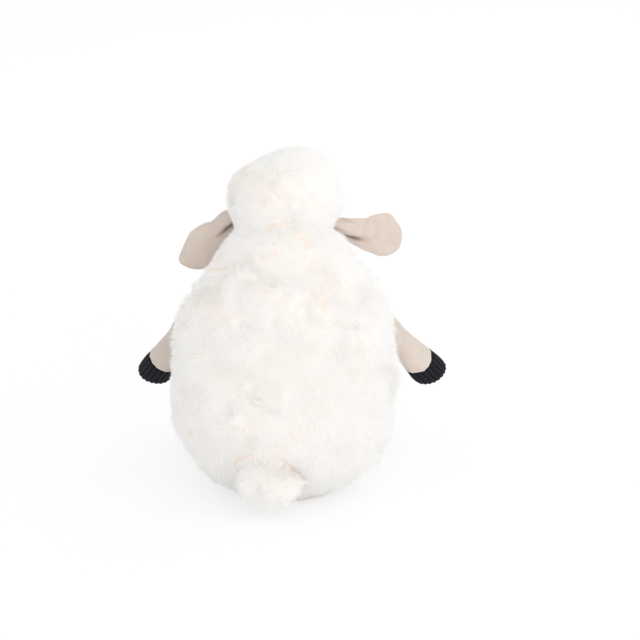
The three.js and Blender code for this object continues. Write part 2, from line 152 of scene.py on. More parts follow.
class Block:
    """A box of space with a value at each point of a regular grid."""

    def __init__(self, low, high, pitch):
        self.low, self.pitch = np.array(low, float), pitch
        counts = np.ceil((np.array(high) - low) / pitch).astype(int) + 1
        axes = [low[k] + pitch * np.arange(counts[k]) for k in range(3)]
        self.places = np.stack(np.meshgrid(*axes, indexing="ij"), -1)

    def distance(self, values):
        """Turns a field that is zero on a surface into about the distance from that surface."""
        steep = np.sqrt(sum(g * g for g in np.gradient(values, self.pitch)))
        return values / np.maximum(steep, 1e-4)

    def at(self, values, p):
        q = (p - self.low) / self.pitch
        cell = np.clip(np.floor(q).astype(int), 0, np.array(values.shape) - 2)
        f = q - cell
        total = 0
        for corner in np.ndindex(2, 2, 2):
            weight = np.prod(np.where(corner, f, 1 - f), axis=-1)
            i = cell + corner
            total = total + weight * values[i[:, 0], i[:, 1], i[:, 2]]
        return total

    def steepest(self, values, p):
        """The direction in which the values rise the fastest, at each point."""
        return unit(np.stack([self.at(g, p) for g in np.gradient(values, self.pitch)], -1))

    def surface(self, values):
        """The points and four-sided faces of the surface where the values pass through zero."""
        inside = values < 0
        cells = np.array(values.shape) - 1
        count = sum(
            inside[i:i + cells[0], j:j + cells[1], k:k + cells[2]].astype(int)
            for i, j, k in np.ndindex(2, 2, 2)
        )
        active = (count > 0) & (count < 8)
        spot = np.argwhere(active)
        number = np.full(tuple(cells), -1)
        number[active] = np.arange(len(spot))
        total, crossings = np.zeros((len(spot), 3)), np.zeros(len(spot))
        faces = []
        for axis in range(3):
            others = [k for k in range(3) if k != axis]
            for a, b in np.ndindex(2, 2):
                start = np.zeros(3, int)
                start[others] = a, b
                end = start.copy()
                end[axis] = 1
                f0, f1 = (values[tuple((spot + e).T)] for e in (start, end))
                cross = (f0 < 0) != (f1 < 0)
                t = f0[cross] / (f0[cross] - f1[cross])
                total[cross] += start + np.outer(t, end - start)
                crossings[cross] += 1
            ahead = np.moveaxis(inside, axis, 0)
            edge = np.argwhere((ahead[:-1] != ahead[1:])[:, 1:-1, 1:-1]) + (0, 1, 1)
            leaving = ahead[tuple(edge.T)]
            ring = np.moveaxis(number, axis, 0)
            corners = ((1, 1), (0, 1), (0, 0), (1, 0))
            quad = np.stack(
                [ring[edge[:, 0], edge[:, 1] - a, edge[:, 2] - b] for a, b in corners], 1)
            turn = leaving if axis != 1 else ~leaving
            faces.append(np.where(turn[:, None], quad, quad[:, ::-1]))
        points = self.low + self.pitch * (spot + total / crossings[:, None])
        return points, np.concatenate(faces)


# ---- meshes and materials ----
def make(name, points, faces, material, body=None, uv=None, numbers=None, smooth=True):
    """A mesh object from points in millimetres and a list of arrays of faces, with a number at
    each point for each label. It rides on the body, if one is named."""
    mesh = bpy.data.meshes.new(name)
    faces = faces if isinstance(faces, list) else [faces]
    mesh.vertices.add(len(points))
    mesh.vertices.foreach_set("co", (np.asarray(points, float) * MM).ravel())
    corners = np.concatenate([f.ravel() for f in faces]).astype(np.int32)
    sizes = np.concatenate([np.full(len(f), f.shape[1]) for f in faces])
    starts = np.concatenate([[0], np.cumsum(sizes)[:-1]]).astype(np.int32)
    mesh.loops.add(len(corners))
    mesh.loops.foreach_set("vertex_index", corners)
    mesh.polygons.add(len(sizes))
    mesh.polygons.foreach_set("loop_start", starts)
    mesh.polygons.foreach_set("use_smooth", np.full(len(sizes), smooth))
    if uv is not None:
        mesh.uv_layers.new(name="OFBake").data.foreach_set("uv", uv[corners].ravel())
    for label, values in (numbers or {}).items():
        attribute = mesh.attributes.new(label, "FLOAT", "POINT")
        attribute.data.foreach_set("value", np.asarray(values, np.float32))
    mesh.update(calc_edges=True)
    mesh.materials.append(material)
    made = bpy.data.objects.new(name, mesh)
    bpy.context.scene.collection.objects.link(made)
    if body:
        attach(made, body)
    return made


class Nodes:
    """A node tree whose nodes are made and linked by name."""

    def __init__(self, tree):
        self.tree = tree

    def add(self, kind, inputs=(), **settings):
        node = self.tree.nodes.new("ShaderNode" + kind)
        for key, value in settings.items():
            setattr(node, key, value)
        for key, value in dict(inputs).items():
            self.put(node.inputs[key], value)
        return node

    def put(self, socket, value):
        if isinstance(value, bpy.types.NodeSocket):
            self.tree.links.new(value, socket)
        else:
            socket.default_value = value

    def seen_white(self, strength=1.0):
        """The share of rays that see a white background: from the camera, or by gloss or glass."""
        rays = self.add("LightPath").outputs
        total = rays["Is Camera Ray"]
        for name in ("Is Glossy Ray", "Is Transmission Ray"):
            added = self.add("Math", {0: total, 1: rays[name]}, operation="ADD", use_clamp=True)
            total = added.outputs[0]
        return self.add("Math", {0: total, 1: strength}, operation="MULTIPLY").outputs[0]


class Shader(Nodes):
    """A material and the nodes of its surface."""

    def __init__(self, name):
        self.material = bpy.data.materials.new(name)
        self.material.use_nodes = True
        super().__init__(self.material.node_tree)
        self.surface = self.tree.nodes["Principled BSDF"]

    def set(self, **values):
        for key, value in values.items():
            self.put(self.surface.inputs[key.replace("_", " ")], value)

    def pattern(self, size, detail=2.0):
        """Noise from 0 to 1 with bumps of about that many millimetres, fixed to the piece."""
        place = self.add("TexCoord").outputs["Object"]
        made = self.add("TexNoise", {"Vector": place, "Scale": 1 / (size * MM), "Detail": detail})
        return made.outputs["Fac"]

    def number(self, label):
        """The number that the mesh has at each point under a label."""
        return self.add("Attribute", attribute_name=label).outputs["Fac"]

    def between(self, share, a, b):
        return self.add("Mix", {0: share, 6: a, 7: b}, data_type="RGBA").outputs[2]

    def mix(self, share, a, b, low=0.0, high=1.0):
        """A colour that goes from a to b as the share goes from low to high."""
        eased_share = self.add("MapRange", {"Value": share, "From Min": low, "From Max": high},
                               interpolation_type="SMOOTHSTEP")
        return self.between(eased_share.outputs[0], a, b)

    def bump(self, height, depth, strength=1.0, under=None):
        made = self.add("Bump", {"Height": height, "Distance": depth * MM, "Strength": strength})
        if under is not None:
            self.put(made.inputs["Normal"], under)
        return made.outputs[0]


def colour(*screen):
    """A colour for a shader from its screen values, 0 to 255."""
    light = [c / 255 / 12.92 if c < 10 else ((c / 255 + 0.055) / 1.055) ** 2.4 for c in screen]
    return (*light, 1)


WHITE = colour(255, 255, 255)


def pile_material():
    """Pile strands: the map's V runs from root to tip, its U from creamy strands to white ones."""
    s = Shader("pile")
    place = s.add("UVMap", uv_map="OFBake").outputs[0]
    parts = s.add("SeparateXYZ", {"Vector": place}).outputs
    tip = s.mix(parts["X"], colour(254, 247, 240), colour(254, 254, 254), 0.0, 0.45)
    # Painted shade: the roots are cream, for the warm shade deep in the pile
    root = s.mix(parts["X"], colour(252, 228, 208), colour(254, 253, 251), 0.0, 0.45)
    s.set(Base_Color=s.mix(parts["Y"], root, tip, 0.02, 0.5), Roughness=0.9,
          Specular_IOR_Level=0.1)
    return s.material


def hide_material():
    s = Shader("pile_backing")
    cloth = s.mix(s.pattern(9, 4), colour(253, 246, 239), colour(254, 252, 249), 0.3, 0.7)
    s.set(Base_Color=cloth, Roughness=1.0, Normal=s.bump(s.pattern(0.7, 3), 0.5),
          Specular_IOR_Level=0.1)
    return s.material


def velour_material():
    s = Shader("velour")
    nap = s.mix(s.pattern(9, 4), colour(220, 206, 196), colour(227, 214, 204), 0.3, 0.7)
    fine = s.mix(s.pattern(0.45, 3), colour(207, 193, 182), colour(236, 226, 218), 0.3, 0.7)
    plain = s.between(0.3, nap, fine)
    rimmed = s.mix(s.number("rim"), plain, colour(240, 230, 220))
    # Painted shade: the velour turns brown-grey by the mesh's shade number, in the ears' creases
    # and on the pieces on the toy's left
    cloth = s.mix(s.number("crease"), rimmed, colour(158, 143, 131))
    soft = s.bump(s.pattern(3.5, 3), 0.35, 0.5)
    s.set(Base_Color=cloth, Roughness=0.95, Specular_IOR_Level=0.15, Sheen_Weight=0.35,
          Sheen_Roughness=0.4, Sheen_Tint=colour(250, 240, 230),
          Normal=s.bump(s.pattern(0.4, 2), 0.18, 0.7, soft))
    return s.material


def corduroy_material():
    s = Shader("corduroy")
    wear_and_painted_light = s.mix(s.pattern(0.5, 3), colour(26, 27, 31), colour(44, 47, 54), 0.3, 0.75)
    # Painted shade and highlight of the ribs: the valleys between them are near black, and the
    # ridges take the lighter mottled tone
    tone = s.mix(s.number("ridge"), colour(7, 7, 10), wear_and_painted_light, 0.1, 0.8)
    s.set(Base_Color=tone, Roughness=0.9, Specular_IOR_Level=0.2, Sheen_Weight=0.3,
          Sheen_Roughness=0.35, Sheen_Tint=colour(120, 124, 134),
          Normal=s.bump(s.pattern(0.35, 2), 0.2, 0.8))
    return s.material


def thread_material():
    s = Shader("thread")
    tone = s.mix(s.pattern(0.8, 2), colour(52, 40, 35), colour(84, 66, 57))
    s.set(Base_Color=tone, Roughness=0.55, Normal=s.bump(s.pattern(0.25, 2), 0.1),
          Specular_IOR_Level=0.4)
    return s.material


def eye_material():
    s = Shader("eye_gloss")
    tone = s.mix(s.pattern(6, 2), colour(9, 8, 8), colour(20, 16, 14))
    s.set(Base_Color=tone, Roughness=0.1, Specular_IOR_Level=0.35, Coat_Weight=0.15,
          Coat_Roughness=0.04)
    return s.material


def filling_material(name, low, high, size):
    s = Shader(name)
    s.set(Base_Color=s.mix(s.pattern(size, 5), low, high, 0.3, 0.7), Roughness=0.95,
          Normal=s.bump(s.pattern(size / 3, 4), 1.0))
    return s.material


PILE, HIDE, VELOUR = pile_material(), hide_material(), velour_material()
CORDUROY, THREAD, EYE = corduroy_material(), thread_material(), eye_material()
STUFFING = filling_material("stuffing_fibre", colour(228, 228, 225), colour(250, 250, 248), 4)
POUCH = filling_material("pouch_cloth", colour(205, 200, 188), colour(225, 221, 212), 1.5)
WASHER = filling_material("washer", colour(222, 222, 220), colour(236, 236, 234), 8)

# ---- camera, floor and light ----
CAMERA_TARGET = Vector((-0.0301, -0.0374, 0.1396))
CAMERA_DISTANCE = 3
SENSOR_WIDTH = 36
LIGHT_TARGET = Vector((0, 0, 0.14))
FLOOR_REACH = 8000
BOUNCES = 16  # the white pile needs many
SKY = 0.93, 0.77  # its strength on the two sides
FLOOR_GLOW = 0.63

scene = bpy.context.scene
scene.view_settings.view_transform = "Standard"
scene.cycles.max_bounces = BOUNCES
scene.cycles.diffuse_bounces = BOUNCES


def aimed(name, data, place, at):
    """An object that looks from its place at another."""
    made = bpy.data.objects.new(name, data)
    scene.collection.objects.link(made)
    made.location = place
    made.rotation_euler = (at - made.location).to_track_quat("-Z", "Y").to_euler()
    return made


def lamp(name, place, size, power):
    light = bpy.data.lights.new(name, "AREA")
    light.energy, light.size = power, size
    aimed(name, light, place, LIGHT_TARGET)


eye_of_camera = CAMERA_TARGET + CAMERA_DISTANCE * Vector(TO_CAMERA)
scene.camera = aimed("camera", bpy.data.cameras.new("camera"), eye_of_camera, CAMERA_TARGET)
scene.camera.data.sensor_width = SENSOR_WIDTH
scene.camera.data.lens = SENSOR_WIDTH * CAMERA_DISTANCE / (IMAGE_SIZE * PIXEL * MM)
scene.camera.data.clip_end = 50

lamp("key_light", (-1.5, 1.2, 1.5), 1.3, 2.5)
lamp("camera_light", (-0.4, 2.7, 0.6), 2.0, 20)
lamp("front_light", (-0.8, -1.9, 1.3), 1.3, 4)

scene.world = bpy.data.worlds.new("studio")
scene.world.use_nodes = True
studio = Nodes(scene.world.node_tree)
way = studio.add("SeparateXYZ", {0: studio.add("TexCoord").outputs["Generated"]})
wall = studio.add(
    "MapRange", {"Value": way.outputs["X"], "From Min": -1, "To Min": SKY[0], "To Max": SKY[1]},
    interpolation_type="SMOOTHSTEP")
whiter = studio.add("Mix", {0: studio.seen_white(), 2: wall.outputs[0], 3: 1})
sky = studio.tree.nodes["Background"]
studio.put(sky.inputs["Color"], WHITE)
studio.put(sky.inputs["Strength"], whiter.outputs[0])

paper = Shader("paper")
sheet = paper.mix(paper.pattern(60, 3), colour(243, 243, 243), colour(247, 247, 247))
paper.set(Base_Color=paper.mix(paper.seen_white(), sheet, colour(170, 170, 170)), Roughness=0.9,
          Specular_IOR_Level=0.0, Emission_Color=WHITE,
          Emission_Strength=paper.seen_white(FLOOR_GLOW))
floor_corners = FLOOR_REACH * np.array([(-1, -1, 0), (1, -1, 0), (1, 1, 0), (-1, 1, 0)])
floor = make("floor", floor_corners, np.array([[0, 1, 2, 3]]), paper.material)


# ---- the body's and head's shape ----
def body_field(p):
    half, back, front = (eased(p[..., 2], BODY_RINGS[:, 0], BODY_RINGS[:, k]) for k in (1, 2, 3))
    return np.hypot(p[..., 0] / half, p[..., 1] / np.where(p[..., 1] > 0, back, front)) - 1


def head_field(p):
    q = p - HEAD
    rise = q[..., 2] / np.where(q[..., 2] > 0, HEAD_UP, HEAD_DOWN)
    depth = q[..., 1] / np.where(q[..., 1] > 0, HEAD_BACK, HEAD_FRONT)
    across = (q[..., 0] + CROWN_LEAN * np.maximum(rise, 0) ** 2) / HEAD_HALF_WIDTH
    return np.sqrt(across**2 + depth**2 + rise**2) - 1


TAIL_AXIS = unit(TAIL_AIM)
TAIL_UP = unit(np.cross([1.0, 0, 0], TAIL_AXIS))
TAIL_FRAME = np.stack([np.cross(TAIL_AXIS, TAIL_UP), TAIL_AXIS, TAIL_UP], 1)
TAIL_MIDDLE = TAIL_ROOT + 11 * TAIL_AXIS + (1.2, 0, 4)
TAIL_SIZE = np.array([24, 14, 16.5])


def tail_field(p):
    return np.linalg.norm((p - TAIL_MIDDLE) @ TAIL_FRAME / TAIL_SIZE, axis=-1) - 1


def ahead_of_face(p):
    """How far a point lies in front of the seam round the face."""
    return (p - FACE_POINT) @ FACE_NORMAL


def above_neck_seam(p):
    return (p - NECK) @ NECK_AXIS + NECK_SEAM


# How softly the fields melt into each other, and how the back swells over the root of the tail
SOFTLY, AT_NECK_ROOT, AT_TAIL_ROOT = 10, 4, 16
MOUND = np.array([14, 86, 50.0])
MOUND_SIZE = 25, 22, 15
MOUND_HEIGHT = 12

space = Block((-106, -112, -8), (106, 112, 308), 2.0)
x, y, z = (space.places[..., k] for k in range(3))
body_gap = np.maximum(space.distance(body_field(space.places)), z - BODY_TOP)
egg_gap = space.distance(head_field(space.places))
neck_gap = np.linalg.norm(space.places - NECK, axis=-1) - NECK_RADIUS
muzzle_field = np.linalg.norm((space.places - MUZZLE) / MUZZLE_SIZE, axis=-1) - 1
muzzle_gap = space.distance(muzzle_field)
head_gap = union(egg_gap, muzzle_gap, SOFTLY)
wool_gap = union(union(body_gap, egg_gap, SOFTLY), neck_gap, AT_NECK_ROOT)
mound = np.exp(-np.sum(((space.places - MOUND) / MOUND_SIZE) ** 2, axis=-1))
whole_gap = union(wool_gap, muzzle_gap, SOFTLY) - MOUND_HEIGHT * mound
tail_gap = space.distance(tail_field(space.places))
skin_gap = union(whole_gap + HIDE_DEPTH, tail_gap, AT_TAIL_ROOT)

# The stretches of skin round the neck and round the root of the tail
NECK_BEND = 14 * NECK_AXIS
AT_NECK = "torso", "head", tuple((NECK - NECK_BEND) * MM), tuple((NECK + NECK_BEND) * MM)
AT_TAIL = ("torso", "tail", tuple((TAIL_ROOT - 2 * TAIL_AXIS) * MM),
           tuple((TAIL_ROOT + 16 * TAIL_AXIS) * MM))

# The hollows for the round roots of the limbs and the tail
LIMB_HOLLOWS = [(c, ARM_HOLLOW) for c in SHOULDERS] + [(c, LEG_HOLLOW) for c in HIPS]
hollows = np.min([np.linalg.norm(space.places - centre, axis=-1) - radius + 1
                  for centre, radius in [*LIMB_HOLLOWS, (TAIL_ROOT, TAIL_HOLLOW)]], axis=0)


def pixels(p):
    """Where the photograph's camera sees each point."""
    rise = p[:, 2] * math.cos(ELEVATION) - p[:, 1] * math.sin(ELEVATION)
    return np.stack([MIDDLE_X - p[:, 0] / PIXEL, GROUND_Y - rise / PIXEL], -1)


# How far the outline moves out on the toy's left and right, in pixels, at rows of the photograph
OUTLINE = np.array([
    [145, 0, 0], [158, 0, 0], [170, 4.5, 0], [182, 4, 2], [194, 0, 2], [206, -2.5, 2],
    [218, -3, -3], [230, -2.5, -3], [242, -2, 0], [254, -3, -0.5], [272, -4, 0], [284, -4, 2],
    [296, -3, 1], [308, 1.2, 2], [320, 2, 0.5], [350, 0, -1.5], [380, 0, 1], [392, 1, -2],
    [404, 0, -4], [422, 0, -3], [434, -2, -2], [446, -4, -4], [458, -3, 2], [470, -3, -1],
    [482, -4, -4], [494, -4, -4], [510, -4, -4],
])
OUTLINE_FROM = 40  # how far from the middle a point moves all the way
CROWN_HEIGHTS, CROWN_DROP = (260, 288), 3
LUMPS = (24, 1.4), (11, 0.5)  # how wide and how high the skin's lumps are


def fitted(points):
    """Moves points sideways, the more the nearer they are to the outline, so that it meets the
    photograph's, and lowers the crown."""
    row = pixels(points)[:, 1]
    side = np.clip(points[:, 0] / OUTLINE_FROM, -1, 1)
    left, right = (np.interp(row, OUTLINE[:, 0], OUTLINE[:, k]) for k in (1, 2))
    moved = points.copy()
    moved[:, 0] += side * np.abs(side) * np.where(side > 0, left, right) * PIXEL
    moved[:, 2] -= CROWN_DROP * ramp(points[:, 2], *CROWN_HEIGHTS)
    return moved


def lumpy(points):
    """Moves points along the skin's normal, in soft lumps."""
    lump = sum(noise(points, wide)[:, :1] * high for wide, high in LUMPS)
    return fitted(points + space.steepest(whole_gap, points) * lump)


SHARP = math.radians(50)


def panel(name, node, shape, outer, inner, limits, material, slot, fill, body=None):
    """A closed sewn panel: the layer of the shape between two depths, inside all the limits.
    One that rides on no body is lumpy."""
    layer = np.maximum.reduce([shape + outer, -(shape + inner), *limits])
    points, faces = space.surface(layer)
    for field in (shape + outer, *limits):
        onto = space.at(field, points)
        near = np.abs(onto) < 0.6 * space.pitch
        points = points - space.steepest(field, points) * np.where(near, onto, 0)[:, None]
    if not body:
        points = lumpy(points)
    points[:, 2] = np.maximum(points[:, 2], 0)
    made = make(name, points, faces, material, body)
    made.data.set_sharp_from_angle(angle=SHARP)
    if not body:
        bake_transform(made)
    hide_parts(node)


# Neighbours overlap by twice this, so that no slit shows between them
OVERLAP = 0.1
# How deep the velour of the face and of the seat lies, outside and inside, how far the face's
# reaches below the neck's seam, how thick the seat is and how high the backing above it starts
FACE_DEPTHS, SEAT_DEPTHS = (0.4, 5.6), (4.5, 90)
FACE_TUCK = 6
SEAT_THICKNESS, BACKING_LOW = 4, 4.4

face_ahead = ahead_of_face(space.places)
neck_above = above_neck_seam(space.places)
above_seat = BACKING_LOW - z
under_chin = np.maximum(-face_ahead, body_gap - head_gap)
below_neck = np.minimum(neck_above, under_chin) - OVERLAP
above_neck = -neck_above - OVERLAP
back_left, back_right = BACK_SEAM_X - OVERLAP - x, x - BACK_SEAM_X - OVERLAP
to_back, to_front = SIDE_SEAM_Y - OVERLAP - y, y - SIDE_SEAM_Y - OVERLAP
behind_face = face_ahead - OVERLAP
for name, limits in (
    ("body_back_left", [back_left, to_back, above_seat, below_neck, -hollows]),
    ("body_back_right", [back_right, to_back, above_seat, below_neck, -hollows]),
    ("body_belly", [to_front, above_seat, below_neck, -hollows]),
    ("head_fur_left", [back_left, above_neck, behind_face]),
    ("head_fur_right", [back_right, above_neck, behind_face]),
):
    panel(name + "_backing", name, whole_gap, HIDE_DEPTH, HIDE_INSIDE, limits, HIDE, "pile_fur",
          0.75)
panel("face_velour", "face_panel", head_gap, *FACE_DEPTHS, [-face_ahead, -neck_above - FACE_TUCK],
      VELOUR, "velour", 0.8, "head")
panel("seat_velour", "body_seat", whole_gap, *SEAT_DEPTHS, [z - SEAT_THICKNESS, -z], VELOUR,
      "velour", 0.6, "torso")

# ---- pile ----
# A strand has two rings of three points and a tip. These are their places along it and widths.
STEPS = np.array([0, 0.45, 1.0])
WIDTHS = np.array([1.0, 0.75])
AROUND = 3
CORNERS = 2 * AROUND + 1
PER_SQUARE_MM = 1.6
PER_PIECE = 19800  # strands in one object
WIDTH, LENGTH = 0.36, 7.2
LEAN = 18, 74  # from the skin's normal, in degrees, at the root and at the tip
LEAN_VARIES = 9, 15
PER_LOCK = 14  # strands that draw together
LOCK_REACH = 4.4  # how near its lock's middle a tip is drawn with full force
HOLD_VARIES, STRAY = 0.15, 0.25  # of a lock's hold, and of a strand's place
ROOT_DEPTH = 0.6
LOWEST = 0.3  # how far above the ground a strand stays
COLUMNS = 64  # of the material's map, one for each tone
# How near these no strand grows
BARE = dict(face=1.5, ground=1.5, ear=5, parting=0.3)


def nearest(points, centres):
    tree = kdtree.KDTree(len(centres))
    for k, c in enumerate(centres):
        tree.insert(c, k)
    tree.balance()
    return np.array([tree.find(p)[1] for p in points])


def scatter(points, faces, density):
    """Random places on a mesh of four-sided faces, evenly spread, with their normals."""
    a, b, c, d = (points[faces[:, k]] for k in range(4))
    across = np.cross(c - a, d - b)
    area = np.linalg.norm(across, axis=1) / 2
    many = np.floor(area * density + rng.random(len(area))).astype(int)
    pick = np.repeat(np.arange(len(faces)), many)
    s, t = rng.random((2, len(pick), 1))
    place = (a[pick] * (1 - s) + b[pick] * s) * (1 - t) + (d[pick] * (1 - s) + c[pick] * s) * t
    return place, unit(across[pick])


def strand_lines(root, normal, comb, length, stand, hold):
    """The root, middle and tip of each strand. It leans more and more towards its comb direction,
    less so where it stands, and its lock holds it more or less."""
    n = len(root)
    centre = rng.permutation(n)[:n // PER_LOCK]
    mine = centre[nearest(root, root[centre])]
    line = np.zeros((n, 3, 3))
    line[:, 0] = root - normal * ROOT_DEPTH
    first = np.radians(LEAN[0] + rng.normal(0, LEAN_VARIES[0], n))
    last = np.radians(LEAN[1] - stand + rng.normal(0, LEAN_VARIES[1], n))
    for k in (1, 2):
        angle = (first + (last - first) * (STEPS[k - 1] + STEPS[k]) / 2)[:, None]
        step = length[:, None] * (STEPS[k] - STEPS[k - 1])
        line[:, k] = line[:, k - 1] + step * (normal * np.cos(angle) + comb * np.sin(angle))
    pull = line[mine, 2] - line[:, 2]
    far = np.maximum(np.linalg.norm(pull, axis=1, keepdims=True), 1e-6)
    drawn = (hold[:, None] + rng.normal(0, HOLD_VARIES, (n, 1))) * np.minimum(1, LOCK_REACH / far)
    for k in (1, 2):
        line[:, k] += pull * drawn * STEPS[k] ** 1.5 + rng.normal(0, STRAY * k, (n, 3))
    return line


def strand_points(line, normal, width):
    """The points of each strand's skin, round its line."""
    along = unit(line[:, 1:] - line[:, :-1])
    side = unit(np.cross(along, normal[:, None]) + 1e-6)
    up = np.cross(along, side)
    turn = rng.random((len(line), 1, 1)) * 2 * math.pi + np.arange(AROUND) * 2 * math.pi / AROUND
    radius = (width / 2)[:, None, None, None] * WIDTHS[None, :, None, None]
    out = np.cos(turn)[..., None] * side[:, :, None] + np.sin(turn)[..., None] * up[:, :, None]
    rings = (line[:, :2, None] + radius * out).reshape(len(line), 2 * AROUND, 3)
    points = np.concatenate([rings, line[:, 2:]], axis=1)
    points[..., 2] = np.maximum(points[..., 2], LOWEST)
    return points


def strand_faces(many):
    """The four-sided and the three-sided faces of that many strands."""
    base = (np.arange(many) * CORNERS)[:, None, None]
    on = [(j + 1) % AROUND for j in range(AROUND)]
    sides = [[j, on[j], AROUND + on[j], AROUND + j] for j in range(AROUND)]
    ends = [[AROUND + j, AROUND + on[j], 2 * AROUND] for j in range(AROUND)] + [[2, 1, 0]]
    return (base + np.array(sides)).reshape(-1, 4), (base + np.array(ends)).reshape(-1, 3)


def strand_map(tone):
    """The map of each strand: a narrow stretch of its tone's column, from root to tip."""
    left = (np.floor(np.clip(tone, 0, 0.999) * COLUMNS) + 0.1)[:, None] / COLUMNS
    ring = left + np.array([0.0, 0.8, 0.4]) / COLUMNS
    us = np.concatenate([ring, ring, left + 0.4 / COLUMNS], axis=1)
    vs = np.concatenate([np.repeat(STEPS[:2], AROUND), [1.0]])
    vs[2] += 0.04
    return np.stack([us, np.broadcast_to(vs, us.shape)], -1)


# Lines in the photograph where the pile parts, as two ends. The strands near them are painted
# cream, for the shade deep in the parting
PARTINGS = [
    (270, 226, 290, 222), (240, 236, 254, 240), (276, 247, 279, 255), (261, 255, 262, 262),
    (245, 271, 247, 280), (247, 280, 259, 281), (216, 269, 230, 271), (267, 287, 260, 294),
    (287, 287, 278, 299), (295, 304, 300, 300), (311, 297, 320, 299), (322, 300, 326, 295),
    (287, 312, 300, 332), (247, 335, 252, 342), (241, 357, 247, 360), (307, 352, 310, 356),
    (362, 345, 365, 352), (250, 384, 257, 377), (250, 381, 256, 387), (310, 387, 322, 375),
    (310, 405, 322, 397), (324, 410, 340, 409), (243, 413, 257, 423), (290, 427, 296, 435),
    (306, 423, 314, 434), (277, 437, 290, 447), (278, 450, 296, 464), (298, 467, 306, 482),
    (330, 460, 332, 467), (186, 418, 196, 431), (195, 352, 209, 352), (345, 253, 346, 258),
    (270, 193, 277, 200), (299, 207, 305, 209), (201, 462, 211, 467), (295, 491, 300, 499),
    (355, 416, 361, 420), (236, 318, 244, 325), (237, 459, 243, 453), (244, 452, 256, 449),
    (286, 456, 297, 468),
]
FAR_OFF = 9.0  # counts as the distance of a parting that isn't near
PARTING_PUSH, PARTING_REACH = 0.9, 2.2
# Places that the pile turns towards, and how far from their middles it does so the most
DRAWN_TO = ([(c, 16) for c in SHOULDERS] + [(c, 19) for c in HIPS]
            + [(c, 6) for c in EAR_ROOTS.values()])
DRAWN_PULL, DRAWN_REACH = 1.6, 7
# The way down, and swirls: their size, the shift of their noise and their share
DOWNHILL = np.array([0, 0, -0.45])
SWIRLS = (26, 3.1, 0.9), (9, 7.7, 0.55)


def combed(root, normal):
    """The way that the pile lies: down the skin, with soft swirls, away from each parting and
    towards the roots of limbs and ears. Also how far the nearest parting is, and how much of a
    whorl a place is in."""
    flow = DOWNHILL
    for size, shift, share in SWIRLS:
        flow = flow + noise(root, size, shift) * share
    hidden = normal @ TO_CAMERA <= 0.2
    spot = pixels(root) + noise(root, 4.5, 2.9)[:, :2] * 2.2
    apart = np.full(len(root), FAR_OFF)
    for x0, y0, x1, y1 in PARTINGS:
        start, line = np.array([x0, y0]), np.array([x1 - x0, y1 - y0])
        share = np.clip((spot - start) @ line / (line @ line), 0, 1)
        away = (spot - start - share[:, None] * line) * PIXEL
        far = np.linalg.norm(away, axis=1) + FAR_OFF * hidden
        sideways = unit(np.stack([-away[:, 0], 0 * far, -away[:, 1]], -1))
        flow = flow + sideways * (PARTING_PUSH * bell(far, 0, PARTING_REACH))[:, None]
        apart = np.minimum(apart, far)
    for centre, size in DRAWN_TO:
        to = centre - root
        far = np.linalg.norm(to, axis=1)
        flow = flow + unit(to) * (DRAWN_PULL * bell(far, size, DRAWN_REACH))[:, None]
    flow -= normal * np.sum(flow * normal, axis=1, keepdims=True)
    return unit(flow), apart, ramp(np.linalg.norm(flow, axis=1), 0.3, 0.08)


def distance_to(centre):
    return np.linalg.norm(root - centre, axis=1)


skin_points, skin_faces = space.surface(skin_gap)
root, normal = scatter(lumpy(skin_points), skin_faces, PER_SQUARE_MM)
on_head = space.at(head_gap, root) < space.at(body_gap, root)
on_face = (above_neck_seam(root) > 0) & (ahead_of_face(root) > -BARE["face"]) & on_head
keep = ~on_face & (root[:, 2] > BARE["ground"])
for centre, hollow in LIMB_HOLLOWS:
    keep &= distance_to(centre) > hollow * 0.9
for centre in EAR_ROOTS.values():
    keep &= distance_to(centre) > BARE["ear"]
root, normal = root[keep], normal[keep]
comb, apart, whorl = combed(root, normal)
keep = apart > BARE["parting"]
root, normal, comb, apart, whorl = (v[keep] for v in (root, normal, comb, apart, whorl))

height = root[:, 2]
head_side = above_neck_seam(root) > 0
on_tail = space.at(tail_gap, root) < space.at(whole_gap, root) + HIDE_DEPTH
parted = bell(apart, 0, 1.3) * ramp(noise(root, 3.5, 6.1)[:, 2], -0.5, 0.3)
at_outline = ramp(np.abs(normal @ TO_CAMERA), 0.6, 0.25)
tufts = ramp(noise(root, 4.5, 8.5)[:, 0], 0.05, 0.45) * ramp(height, 235, 200) * at_outline
by_arm = sum(bell(distance_to(c), 17, 7) for c in SHOULDERS)
over_arm = by_arm * (height > 135)
by_ear = sum(bell(distance_to(c), 9, 5) for c in EAR_ROOTS.values())
under_tail = on_tail * ramp(-normal[:, 2], 0.5, 0)

length = LENGTH + 1.2 * noise(root, 13, 5.5)[:, 0] + 1.8 * tufts + rng.normal(0, 0.6, len(root))
length *= 1 - 0.15 * parted
length *= 1 + 0.1 * by_arm + 0.6 * over_arm + 0.4 * by_ear + 0.15 * under_tail
length *= 1 - 0.4 * ramp(height, 250, 285) - 0.4 * ramp(height, 26, 6)
tone = 0.62 + 0.16 * noise(root, 22, 1.3)[:, 0] + 0.1 * noise(root, 6, 4.4)[:, 2]
# Painted shade: strands by the partings and in whorls get a lower tone, that is creamier
tone += rng.normal(0, 0.13, len(root)) - 0.65 * parted - 0.2 * whorl
width = WIDTH * rng.uniform(0.75, 1.25, len(root))
line = strand_lines(root, normal, comb, length, 30 * tufts + 22 * over_arm, 0.28 + 0.35 * tufts)
points, places_on_map = strand_points(line, normal, width), strand_map(tone)

